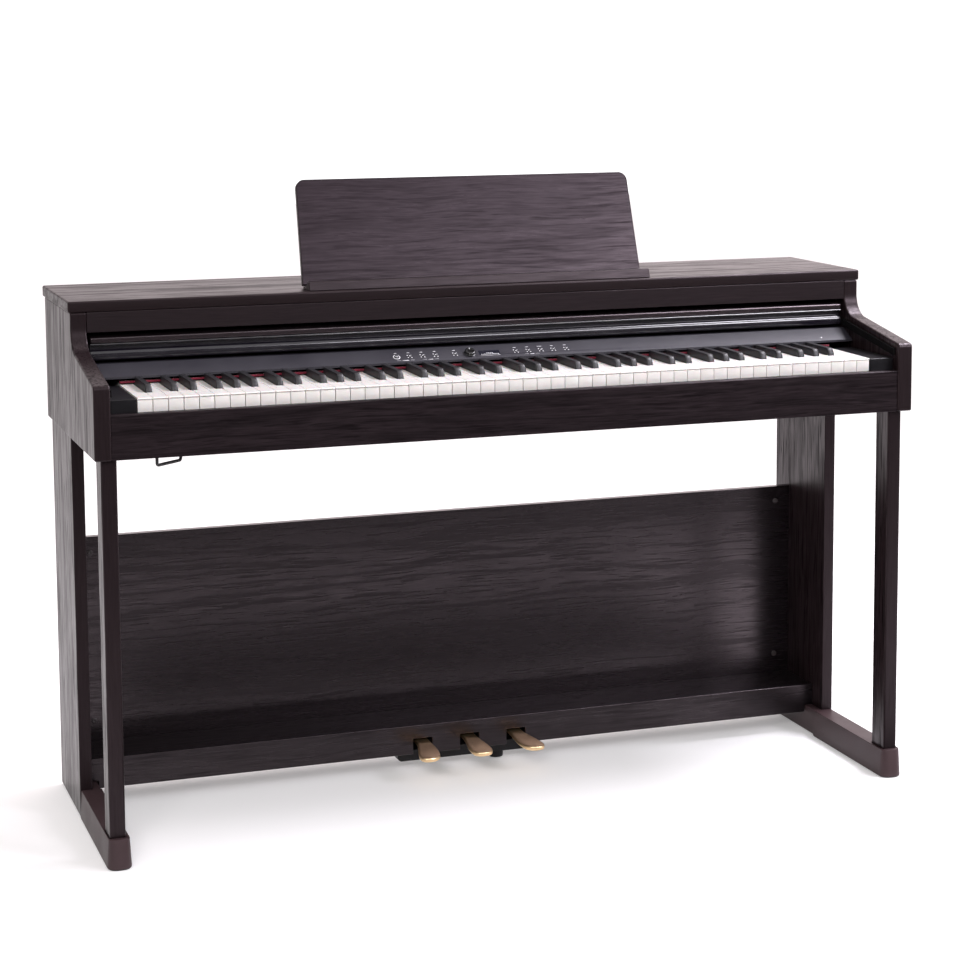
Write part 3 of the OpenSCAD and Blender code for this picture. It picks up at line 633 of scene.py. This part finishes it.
def headphone_hook():
    """The bent wire under the bass end."""
    low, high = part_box("headphone_hook")
    radius = 2.5 * MM
    a = Vector((low.x + radius, low.y + radius, 0))
    b = Vector((high.x - radius, high.y - radius, 0))
    along = (b - a).normalized()
    bottom = low.z + radius
    bend = 9 * MM
    tip_rise = 12 * MM

    def at(point, height):
        return (point.x, point.y, height)

    points = [at(a, high.z), at(a, high.z - 2 * MM), at(a, bottom + bend), at(a, bottom),
              at(a + along * bend, bottom), at(b - along * bend, bottom),
              at(b, bottom), at(b, bottom + bend), at(b, bottom + tip_rise)]
    place(tube("hook_wire", points, radius), HOOK, "headphone_hook")


# ---------------------------------------------------------------- keyboard

def key_slip():
    """The board in front of the keys, its top edge a little below their fronts."""
    bm = welded("key_slip")
    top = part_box("key_slip")[1].z
    for vert in bm.verts:
        if vert.co.z > top - 12 * MM:
            vert.co.z -= 1.5 * MM
    place(round_edges(add_object("key_slip_shell", bm, 35), 0.9 * MM), WOOD_FLAT, "key_slip")


def white_keys(node):
    """The keys with soft edges and an undercut below each overhanging lip."""
    bm = welded(node)
    front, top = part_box(node)[0].y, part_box(node)[1].z
    everything = bm.verts[:] + bm.edges[:] + bm.faces[:]
    bmesh.ops.bisect_plane(bm, geom=everything, dist=1e-6,
                           plane_co=(0, 0, top - 4.2 * MM), plane_no=(0, 0, 1))
    for vert in bm.verts:
        if vert.co.y - front < 2.2 * MM and top - 4 * MM < vert.co.z < top - 2 * MM:
            vert.co.z += 1 * MM
            if vert.co.y - front > 1.2 * MM:
                vert.co.y += 4 * MM
    place(round_edges(add_object(node + "_shell", bm, 35), 0.5 * MM), IVORY, node)


def black_keys(node):
    """Tapered caps with a raked, rounded front, on the levers that carry them."""
    bm = bmesh.new()
    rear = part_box("control_panel")[0].y - 1.5 * MM
    for low, high in solids(node):
        middle = (low.x + high.x) / 2
        half = (high.x - low.x) / 2
        # height, how far the front leans back in mm, half width
        stations = [(low.z, 0.0, half), (high.z - 9 * MM, 0.4, half - 0.05 * MM),
                    (high.z - 4 * MM, 3.4, half - 0.4 * MM), (high.z - 1.6 * MM, 5.6, half - 0.6 * MM),
                    (high.z - 0.5 * MM, 7.6, half - 0.8 * MM), (high.z, 11.5, half - 1.0 * MM)]
        rings = []
        for z, back, h in stations:
            front = low.y + back * MM
            ring = [(middle - h, rear, z), (middle - h, front + 1.6 * MM, z)]
            for i in range(7):
                angle = math.pi * i / 6
                across = (h - 0.2 * MM) * math.cos(angle)
                ring.append((middle - across, front + (1.4 - 1.4 * math.sin(angle)) * MM, z))
            ring += [(middle + h, front + 1.6 * MM, z), (middle + h, rear, z)]
            rings.append(ring)
        add_loft(bm, rings)
        add_box(bm, (low.x, rear + 0.01 * MM, low.z), (high.x, high.y, high.z - 11 * MM))
    place(round_edges(add_object(node + "_caps", bm, 38), 0.8 * MM, 3, 40), EBONY, node)


def key_felt():
    """The felt strip behind the keys, soft at its edges."""
    low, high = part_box("key_felt")
    bm = bmesh.new()
    steps = 240
    rings = []
    for i in range(steps + 1):
        x = low.x + (high.x - low.x) * i / steps
        wave = 0.35 * MM * math.sin(i * 1.7) * math.sin(i * 0.31)
        y0, y1, z0, z1 = low.y + 0.4 * MM + wave * 0.6, high.y, low.z + 0.3 * MM + wave * 0.5, high.z
        rings.append([(x, y0 + 1 * MM, z0), (x, y0, z0 + 1.2 * MM), (x, y0, z1 - 1 * MM),
                      (x, y0 + 1 * MM, z1), (x, y1, z1), (x, y1, z0)])
    add_loft(bm, rings)
    place(add_object("felt_strip", bm), FELT, "key_felt")


# ---------------------------------------------------------------- control panel

def panel_matrix(node):
    """Frame on the slanted face under a control: Z points out of the panel."""
    low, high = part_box(node)
    centre = (low + high) / 2
    joint = joint_named("dial_turn")
    normal = Vector(joint["axis"]).normalized()
    tilt = math.atan2(-normal.y, normal.z)
    base = Matrix.Translation(Vector((centre.x, joint["pos_m"][1], joint["pos_m"][2])))
    return base @ Matrix.Rotation(tilt, 4, "X")


def dial():
    """Volume knob: a ribbed skirt, a satin crown with a turned dish and a pointer mark."""
    frame_at = panel_matrix("volume_dial")
    radius = 9.5 * MM
    ribs = 48
    bm = bmesh.new()
    rings = []
    # height in mm, share of the radius, depth of the ribs
    for height, size, depth in ((0.5, 1.0, 0.0), (1.6, 1.0, 0.0), (1.8, 0.955, 0.0), (2.1, 0.95, 0.02),
                                (4.6, 0.925, 0.02), (4.9, 0.91, 0.0), (5.6, 0.88, 0.0), (6.15, 0.82, 0.0),
                                (6.35, 0.74, 0.0), (6.2, 0.66, 0.0), (5.9, 0.3, 0.0)):
        ring = []
        for i in range(ribs * 4):
            angle = 2 * math.pi * i / (ribs * 4)
            r = radius * size * (1 - depth * (1 if i % 4 in (0, 1) else 0))
            ring.append(frame_at @ Vector((r * math.cos(angle), r * math.sin(angle), height * MM)))
        rings.append(ring)
    add_loft(bm, rings)
    add_lathe(bm, [(3 * MM, -7 * MM), (3 * MM, 0.6 * MM)], frame_at, 32)
    place(add_object("dial_knob", bm, 40), DIAL, "volume_dial")
    mark = bmesh.new()
    add_box(mark, (-0.5 * MM, 4.2 * MM, 5.8 * MM), (0.5 * MM, 7.2 * MM, 6.39 * MM))
    mark.transform(frame_at)
    pointer = round_edges(add_object("dial_pointer", mark), 0.12 * MM, 2)
    attach(pointer, LIGHT_INK, BODY_OF["volume_dial"])


def button(node):
    """A small domed cap with a dished top; the power button has a ring round it, the others five dots."""
    at = panel_matrix(node)
    low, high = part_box(node)
    radius = (high.x - low.x) / 2
    top = 1.2 * MM
    profile = [(radius, -6 * MM), (radius, top - 0.5 * MM), (radius * 0.95, top - 0.15 * MM),
               (radius * 0.82, top), (radius * 0.6, top - 0.08 * MM), (radius * 0.2, top - 0.16 * MM)]
    bm = bmesh.new()
    add_lathe(bm, profile, at, 36)
    place(add_object(node + "_cap", bm, 40), BUTTON, node)
    marks = bmesh.new()
    if node == "power_button":
        add_lathe(marks, [(radius * 1.04, 0.02 * MM), (radius * 1.04, 0.14 * MM), (radius * 1.32, 0.14 * MM),
                          (radius * 1.32, 0.02 * MM)], at, 32)
        bar = bmesh.new()
        add_box(bar, (-radius * 0.5, -0.5 * MM, top - 0.2 * MM), (radius * 0.5, 0.5 * MM, top + 0.05 * MM))
        bar.transform(at @ Matrix.Rotation(math.radians(-20), 4, "Z"))
        attach(add_object(node + "_bar", bar), LIGHT_INK, BODY_OF[node])
        attach(add_object(node + "_mark", marks), LIGHT_INK, "cabinet")
        return
    for x, y in ((-3.1, 3.4), (2.7, 2.9), (-2.8, -2.9), (3.1, -3.4)):
        spot = at @ Matrix.Translation(Vector((x * MM, y * MM, 0)))
        add_lathe(marks, [(1.05 * MM, 0), (1.0 * MM, 0.12 * MM), (0.4 * MM, 0.2 * MM)], spot, 12)
    spot = at @ Matrix.Translation(Vector((0, 0, top - 0.3 * MM)))
    add_lathe(marks, [(0.9 * MM, 0), (0.9 * MM, 0.3 * MM), (0.4 * MM, 0.34 * MM)], spot, 12)
    attach(add_object(node + "_lamps", marks), LIGHT_INK, "cabinet")


def legend_bar(name, node, dx, up, length, height=1.3):
    """A short printed bar that stands where the real panel has a legend."""
    at = panel_matrix(node)
    bm = bmesh.new()
    half = length / 2 * MM
    add_box(bm, (dx * MM - half, (up - height / 2) * MM, 0),
            (dx * MM + half, (up + height / 2) * MM, 0.06 * MM))
    bm.transform(at)
    attach(add_object(name, bm), INK, "cabinet")


def display():
    """Glossy window with two rows of small pale cells."""
    at = panel_matrix("display_window")
    low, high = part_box("display_window")
    half_w = (high.x - low.x) / 2
    half_h = 6 * MM
    bm = bmesh.new()
    add_box(bm, (-half_w, -half_h, -1 * MM), (half_w, half_h, 0.2 * MM))
    bm.transform(at)
    place(round_edges(add_object("display_pane", bm), 0.25 * MM, 3), GLASS, "display_window")
    rows = bmesh.new()
    for row, (y, cells) in enumerate(((-1.2, 4), (-4.5, 12))):
        pitch = 2.6 if row else 3.0
        for i in range(cells):
            x = (i - (cells - 1) / 2) * pitch * MM
            width = (0.85 if (i * 7 + row) % 3 else 1.15) * MM
            add_box(rows, (x - width, (y - 0.7) * MM, 0.19 * MM), (x + width, (y + 0.7) * MM, 0.24 * MM))
    rows.transform(at)
    attach(add_object("display_segments", rows), LIGHT_INK, "cabinet")


def controls():
    """Buttons, the bars that stand for their lettering, the dial, the display and the lamp."""
    names = ["power_button"]
    names += [f"{kind}_button_{i + 1}" for kind, count in BUTTON_COUNTS for i in range(count)]
    for name in names:
        button(name)
        legend_bar(name + "_legend", name, 0, 10.5, 8 if name == "function_button_3" else 4.8)
    legend_bar("display_legend", "display_window", 0, -8, 34, 0.6)
    for name, node, dx, up, length in (("voice", "voice_button_1", -9, -10.5, 11),
                                       ("rhythm", "voice_button_3", -11, -10.5, 8),
                                       ("function", "function_button_2", 4, -9.5, 7)):
        legend_bar(name + "_group", node, dx, up, length)
        for side in (-1, 1):
            reach = dx + side * (length / 2 + 6)
            legend_bar(f"{name}_group_line_{'right' if side > 0 else 'left'}", node, reach, up + 0.4, 7, 0.45)
    dial()
    display()
    power_lamp()


def power_lamp():
    """The small lamp at the treble end of the panel, level with the lower edge of the display."""
    window = panel_matrix("display_window")
    across = Matrix.Translation(Vector((LAMP_X - window.translation.x, 0, 0)))
    seat = across @ window @ Matrix.Translation(Vector((0, -6 * MM, 0)))
    lamp = bmesh.new()
    add_lathe(lamp, [(1.3 * MM, 0), (1.3 * MM, 0.25 * MM), (0.8 * MM, 0.5 * MM)], seat, 20)
    attach(add_object("power_lamp", lamp), LIGHT_INK, "cabinet")


# ---------------------------------------------------------------- pedals

def inset_outline(points, amount):
    """Moves a closed outline inwards by amount."""
    count = len(points)
    moved = []
    for i in range(count):
        before, after = points[i - 1], points[(i + 1) % count]
        tangent = Vector((after[0] - before[0], after[1] - before[1]))
        if tangent.length < 1e-9:
            moved.append(points[i])
            continue
        tangent.normalize()
        moved.append((points[i][0] - tangent.y * amount, points[i][1] + tangent.x * amount))
    return moved


def pedal_outline(tip, toe, splay):
    """Plan of a pedal about its pivot: straight neck, widening bent tongue and round toe."""
    neck, bend_start = 11.9 * MM, 62 * MM

    def middle(back):
        return splay * max(0.0, (back - bend_start) / (tip - bend_start)) ** 1.4

    def half(back):
        grow = min(1.0, max(0.0, (back - bend_start) / (tip - 26 * MM - bend_start)))
        return neck + (toe - neck) * grow * grow * (3 - 2 * grow)

    backs = [tip * i / 26 for i in range(23)]
    right = [(middle(b) + half(b), -b) for b in backs]
    left = [(middle(b) - half(b), -b) for b in reversed(backs)]
    centre = backs[-1]
    reach = tip - centre
    nose = []
    # the toe is blunter than half an ellipse
    for i in range(1, 24):
        angle = math.pi * i / 24
        along = math.sin(angle) ** 0.75 * reach
        across = math.copysign(abs(math.cos(angle)) ** 0.8, math.cos(angle))
        nose.append((middle(centre + along) + half(centre) * across, -centre - along))
    return (right + nose + left)[::-1]


def pedal(side):
    """A brass pedal: a thick tongue with rounded rims, bent and widened to its toe, on a boss."""
    node = f"pedal_{side}"
    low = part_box(node)[0]
    pivot = Vector(joint_named(f"pedal_{side}_press")["pos_m"])
    slope = math.radians(4)
    tip = (pivot.y - low.y) / math.cos(slope) - 0.7 * MM
    splay = {"left": -11 * MM, "middle": 0.0, "right": 11 * MM}[side]
    outline = pedal_outline(tip, 18.3 * MM, splay)
    turn = Matrix.Translation(pivot) @ Matrix.Rotation(slope, 4, "X")
    top, bottom = 1.9 * MM, -5.9 * MM
    # height, and how far the outline draws in, in mm
    levels = [(bottom, 2.6), (bottom + 0.3 * MM, 1.3), (bottom + 1.2 * MM, 0.3), (bottom + 2.4 * MM, 0.0),
              (bottom + 3.4 * MM, 0.0), (bottom + 3.7 * MM, 0.5), (bottom + 4.1 * MM, 0.5),
              (bottom + 4.4 * MM, 0.0), (top - 2.2 * MM, 0.0), (top - 0.9 * MM, 0.5), (top - 0.25 * MM, 1.5),
              (top, 2.8)]
    bm = bmesh.new()
    rings = []
    for height, inset in levels:
        rings.append([turn @ Vector((x, y, height)) for x, y in inset_outline(outline, inset * MM)])
    add_loft(bm, rings)
    boss = Matrix.Translation(pivot) @ Matrix.Rotation(math.radians(90), 4, "Y")
    add_lathe(bm, [(6.5 * MM, -13 * MM), (8 * MM, -11.8 * MM), (8 * MM, 11.8 * MM), (6.5 * MM, 13 * MM)],
              boss, 40)
    place(add_object(node + "_tongue", bm, 50), BRASS, node)


def torsion_springs():
    """Coiled wire springs round the axle, one beside each pedal."""
    boxes = solids("pedal_springs")
    radius = (boxes[0][1].z - boxes[0][0].z) / 2 - 1.0 * MM
    axle_low, axle_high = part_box("pedal_axle")
    centre = (axle_low + axle_high) / 2
    starts = [boxes[0][0].x]
    # CAD draws each spring as close rings, so a wide gap starts the next one
    wide_gap = 5 * MM
    for before, after in zip(boxes, boxes[1:]):
        if after[0].x - before[1].x > wide_gap:
            starts.append(after[0].x)
    turns, pitch, per_turn = 6.5, 2.1 * MM, 20
    for index, start in enumerate(starts):
        points = []
        for i in range(int(turns * per_turn) + 1):
            angle = 2 * math.pi * i / per_turn
            points.append((start + 1.0 * MM + pitch * i / per_turn, centre.y + radius * math.cos(angle),
                           centre.z + radius * math.sin(angle)))
        coil = tube(f"torsion_spring_{index + 1}", points, 0.9 * MM, False)
        if index:
            attach(coil, STEEL, "cabinet")
        else:
            place(coil, STEEL, "pedal_springs")


def adjuster():
    """Levelling foot under the pedal unit: a knurled pad with a soft lower rim on a threaded stem."""
    low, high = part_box("adjuster_foot")
    centre = Vector(((low.x + high.x) / 2, (low.y + high.y) / 2, low.z))
    pad = (high.x - low.x) / 2
    pad_height, stem_height = 12.5, (high.z - low.z) / MM
    bm = bmesh.new()
    rings = []
    # share of the radius, height in mm
    for radius, height in ((0.80, 0.1), (0.9, 0.4), (0.97, 1.3), (1.0, 2.6), (1.0, pad_height - 1.6),
                           (0.97, pad_height - 0.4), (0.92, pad_height), (0.35, pad_height)):
        ring = []
        for i in range(120):
            angle = 2 * math.pi * i / 120
            cut = 0.96 if i % 5 in (0, 1) and 2.0 < height < pad_height - 1 else 1.0
            reach = pad * radius * cut
            ring.append(centre + Vector((reach * math.cos(angle), reach * math.sin(angle), height * MM)))
        rings.append(ring)
    add_loft(bm, rings)
    thread = [(3.4 * MM, (pad_height - 0.5) * MM)]
    for i in range(int(stem_height - pad_height) - 1):
        thread.append((3.95 * MM if i % 2 else 3.4 * MM, (pad_height + 0.3 + i) * MM))
    add_lathe(bm, thread, Matrix.Translation(centre), 28)
    place(add_object("adjuster_pad", bm, 35), BLACK, "adjuster_foot")


# ---------------------------------------------------------------- stage and light

def backdrop():
    """A wide pale floor."""
    bm = bmesh.new()
    half = 14.0
    verts = [bm.verts.new((x * half, y * half, -0.0005)) for x, y in ((-1, -1), (1, -1), (1, 1), (-1, 1))]
    bm.faces.new(verts)
    floor = add_object("studio_floor", bm)
    floor.data.materials.append(floor_material())


def floor_material():
    """Pale paper that gives out a little light, so that it stays white under the piano."""
    shader = Shader("pale_floor")
    cloud = shader.noise(shader.coordinates(), 0.8, 2.0)
    shader.mottle(cloud, (0.86, 0.86, 0.86), (0.89, 0.89, 0.89))
    shader.set(Roughness=0.75, Emission_Strength=0.22)
    shader.bsdf.inputs["Emission Color"].default_value = (1, 1, 1, 1)
    return shader.material


def soft_light(name, position, target, size, power, colour):
    """A rectangular soft box aimed at the target."""
    data = bpy.data.lights.new(name, "AREA")
    data.shape = "RECTANGLE"
    data.size, data.size_y = size
    data.energy = power
    data.color = colour
    light = bpy.data.objects.new(name, data)
    light.location = position
    light.rotation_euler = (Vector(target) - Vector(position)).to_track_quat("-Z", "Y").to_euler()
    bpy.context.scene.collection.objects.link(light)
    return light


def reflected_shade_card(name, low, high, material):
    """A black card lying on the floor that only glossy reflections see: painted shade in the reflections of the
    floor.
    """
    bm = bmesh.new()
    corners = ((low[0], low[1]), (high[0], low[1]), (high[0], high[1]), (low[0], high[1]))
    bm.faces.new([bm.verts.new((x, y, 0.0005)) for x, y in corners])
    card = add_object(name, bm)
    card.data.materials.append(material)
    card.visible_camera = card.visible_diffuse = card.visible_shadow = card.visible_transmission = False


def lights():
    """A broad ceiling, soft boxes overhead and ahead, and dark cards on the floor in front that only reflections
    see, as painted shade.
    """
    sun = bpy.data.lights.new("ceiling", "SUN")
    sun.energy = 1.2
    sun.angle = math.radians(80)
    overhead = bpy.data.objects.new("ceiling", sun)
    overhead.rotation_euler = (math.radians(26), math.radians(-12), 0)
    bpy.context.scene.collection.objects.link(overhead)
    soft_light("top_strip", (1.5, -0.15, 2.6), (0.5, -0.05, 0.75), (1.5, 0.8), 85, (0.94, 0.91, 1.0))
    soft_light("front_box", (2.7, -3.2, 2.7), (0.3, 0, 0.9), (1.4, 1.2), 75, LIGHT_TINT)
    rail = soft_light("rail_light", (1.8, -3.1, 2.5), (0.3, -0.1, 0.85), (2.4, 0.6), 70, LIGHT_TINT)
    rail.visible_diffuse = False
    soft_light("front_fill", (-2.0, -4.4, 2.7), (0, -0.2, 0.7), (1.8, 1.0), 95, (1.0, 0.96, 0.95))
    # the near card stands in for the shade on the floor just in front of the piano, and the far one darkens the
    # floor farther out: painted shade in reflections
    reflected_shade_card("near_reflected_shade", (-0.52, -0.92), (0.78, -0.25), VELVET)
    reflected_shade_card("far_reflected_shade", (-5.0, -9.0), (5.0, -1.35), CARD)


def studio_world():
    """White behind for the camera; for all else a warm sweep, bright behind and right, dark in front."""
    world = bpy.data.worlds.new("studio")
    world.use_nodes = True
    tree = world.node_tree
    background = tree.nodes["Background"]
    coord = tree.nodes.new("ShaderNodeTexCoord")
    split = tree.nodes.new("ShaderNodeSeparateXYZ")
    tree.links.new(coord.outputs["Generated"], split.inputs[0])

    def ramp(axis, low, high, to_low, to_high):
        made = tree.nodes.new("ShaderNodeMapRange")
        for key, value in zip(("From Min", "From Max", "To Min", "To Max"), (low, high, to_low, to_high)):
            made.inputs[key].default_value = value
        tree.links.new(split.outputs[axis], made.inputs["Value"])
        return made.outputs["Result"]

    def combine(operation, a, b):
        made = tree.nodes.new("ShaderNodeMath")
        made.operation = operation
        tree.links.new(a, made.inputs[0])
        tree.links.new(b, made.inputs[1])
        return made.outputs[0]

    sweep = combine("MULTIPLY", ramp("Y", -0.3, 0.3, 0.08, 1.0), ramp("X", -0.3, 0.6, 0.66, 1.9))
    path = tree.nodes.new("ShaderNodeLightPath")
    tree.links.new(combine("MAXIMUM", sweep, path.outputs["Is Camera Ray"]), background.inputs["Strength"])
    tint = tree.nodes.new("ShaderNodeMix")
    tint.data_type = "RGBA"
    tree.links.new(path.outputs["Is Camera Ray"], tint.inputs[0])
    tint.inputs[6].default_value = (1.0, 0.895, 0.908, 1)
    tint.inputs[7].default_value = (1.0, 1.0, 1.0, 1)
    tree.links.new(tint.outputs[2], background.inputs["Color"])
    bpy.context.scene.world = world
    bpy.context.scene.view_settings.view_transform = "Standard"


def camera():
    """Three-quarter view from the bass side, fitted to the cabinet's edges, the key row and the feet."""
    yaw, pitch, roll = 0.3397, -0.1173, -0.0044
    place_m = Vector((-1.255, -3.716, 1.258))
    forward = Vector((math.sin(yaw) * math.cos(pitch), math.cos(yaw) * math.cos(pitch), math.sin(pitch)))
    right = Vector((math.cos(yaw), -math.sin(yaw), 0))
    up = right.cross(forward)
    turned = math.cos(roll) * right + math.sin(roll) * up
    level = -math.sin(roll) * right + math.cos(roll) * up
    data = bpy.data.cameras.new("camera")
    data.sensor_width = 36
    data.lens = 88.7
    data.shift_x, data.shift_y = -0.0342, -0.17
    obj = bpy.data.objects.new("camera", data)
    matrix = Matrix((turned, level, -forward)).transposed().to_4x4()
    matrix.translation = place_m
    obj.matrix_world = matrix
    bpy.context.scene.collection.objects.link(obj)
    bpy.context.scene.camera = obj


camera()
backdrop()
lights()
studio_world()
cabinet()
for side_name in ("left", "right"):
    foot(side_name)
screw_caps()
headphone_hook()
for node_name in ("bass_white_keys", "treble_white_keys", "key_c4", "key_d4", "key_e4"):
    white_keys(node_name)
for node_name in ("bass_black_keys", "treble_black_keys", "key_c_sharp4", "key_d_sharp4"):
    black_keys(node_name)
key_felt()
controls()
for pedal_name in ("left", "middle", "right"):
    pedal(pedal_name)
torsion_springs()
adjuster()
